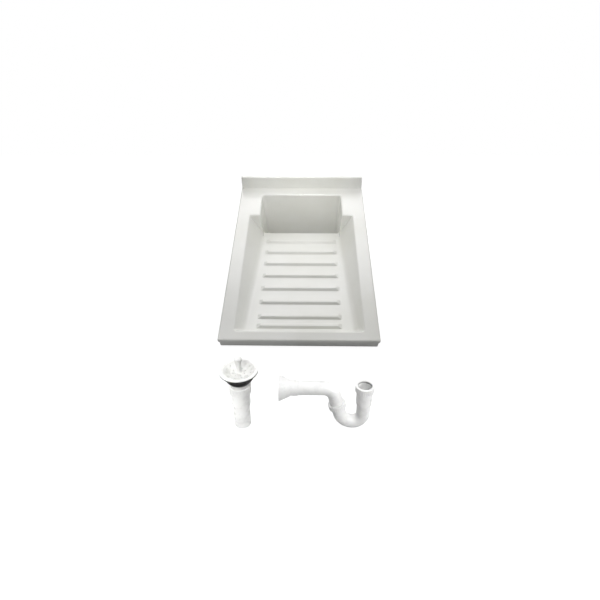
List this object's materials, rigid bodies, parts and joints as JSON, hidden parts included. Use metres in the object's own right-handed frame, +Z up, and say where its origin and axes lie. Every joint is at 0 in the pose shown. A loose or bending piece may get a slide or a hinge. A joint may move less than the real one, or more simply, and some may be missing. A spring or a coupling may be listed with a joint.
{
  "type": "laundry sink",
  "caption": "Moulded washboard laundry sink tipped on its lip and deep well, with a screwed waste fitting and a tubular trap standing loose in front of it.",
  "frame": {"origin": "middle of the whole set's bounding box, on the floor", "axes": "+Z up, +Y from the sink's front lip to its upstand, +X to the right seen from the lip"},
  "size_m": [0.5, 1.1278, 0.4238],
  "materials": {
    "sink_white": "glossy warm white moulded resin",
    "fitting_white": "glossy white moulded plastic",
    "basket_grey": "pale moulded plastic",
    "nut_black": "black moulded plastic, faint sheen",
    "rubber_black": "black rubber, matt",
    "rubber_grey": "grey rubber, matt",
    "ring_pale": "pale slip ring",
    "trap_white": "glossy white moulded plastic"
  },
  "bodies": {
    "sink": {"sink_shell": "sink_white"},
    "tail": {"tail_pipe": "fitting_white", "tail_washer": "rubber_black"},
    "barrel": {"waste_flange_body": "fitting_white", "flange_gasket": "rubber_black"},
    "tail_nut": {"tail_nut": "fitting_white"},
    "friction_ring": {"friction_ring": "ring_pale"},
    "lock_nut": {"lock_nut": "nut_black"},
    "basket": {"strainer_basket": "basket_grey", "basket_knob": "fitting_white", "basket_stopper": "rubber_grey"},
    "bend": {"trap_j_bend": "trap_white"},
    "inlet_washer": {"inlet_washer": "rubber_grey"},
    "inlet_nut": {"inlet_nut": "trap_white"},
    "union_washer": {"union_washer": "rubber_grey"},
    "union_nut": {"union_nut": "trap_white"},
    "arm": {"trap_arm": "trap_white"},
    "rosette": {"wall_rosette": "trap_white"}
  },
  "joints": [
    {"name": "waste_lift", "type": "slide", "parent": "sink", "child": "tail", "axis": [0, 0, 1], "range_m": [0, 0.25]},
    {"name": "tail_nut_turn", "type": "hinge", "parent": "tail", "child": "tail_nut", "pos_m": [-0.124, -0.52191, 0.101], "axis": [0, 0, 1], "range_deg": [-1800, 0]},
    {"name": "barrel_rise", "type": "slide", "parent": "tail", "child": "barrel", "axis": [0, 0, 1], "range_m": [0, 0.0126]},
    {"name": "lock_ring_slide", "type": "slide", "parent": "barrel", "child": "friction_ring", "axis": [0, 0, 1], "range_m": [-0.0088, 0]},
    {"name": "lock_nut_turn", "type": "hinge", "parent": "friction_ring", "child": "lock_nut", "pos_m": [-0.124, -0.52191, 0.1287], "axis": [0, 0, 1], "range_deg": [-1260, 0]},
    {"name": "basket_lift", "type": "slide", "parent": "barrel", "child": "basket", "axis": [0, 0, 1], "range_m": [0, 0.06]},
    {"name": "trap_lift", "type": "slide", "parent": "sink", "child": "bend", "axis": [0, 0, 1], "range_m": [0, 0.25]},
    {"name": "inlet_washer_slide", "type": "slide", "parent": "bend", "child": "inlet_washer", "axis": [0, 0, 1], "range_m": [0, 0.0126]},
    {"name": "inlet_nut_turn", "type": "hinge", "parent": "inlet_washer", "child": "inlet_nut", "pos_m": [0.152, -0.52691, 0.107], "axis": [0, 0, 1], "range_deg": [0, 1800]},
    {"name": "union_washer_slide", "type": "slide", "parent": "bend", "child": "union_washer", "axis": [-0.2588, 0, 0.9659], "range_m": [0, 0.0076]},
    {"name": "union_nut_turn", "type": "hinge", "parent": "union_washer", "child": "union_nut", "pos_m": [0.09284, -0.52691, 0.06141], "axis": [-0.2588, 0, 0.9659], "range_deg": [0, 1080]},
    {"name": "arm_swivel", "type": "hinge", "parent": "bend", "child": "arm", "pos_m": [0.09207, -0.52691, 0.06431], "axis": [-0.2588, 0, 0.9659], "range_deg": [-120, 120]},
    {"name": "rosette_slide", "type": "slide", "parent": "arm", "child": "rosette", "axis": [1, 0, 0], "range_m": [0, 0.055]}
  ],
  "couplings": [
    {"joint": "barrel_rise", "follows": "tail_nut_turn", "m_per_rad": -0.00039789},
    {"joint": "lock_ring_slide", "follows": "lock_nut_turn", "m_per_rad": 0.00039789},
    {"joint": "inlet_washer_slide", "follows": "inlet_nut_turn", "m_per_rad": 0.00039789},
    {"joint": "union_washer_slide", "follows": "union_nut_turn", "m_per_rad": 0.00039789}
  ]
}
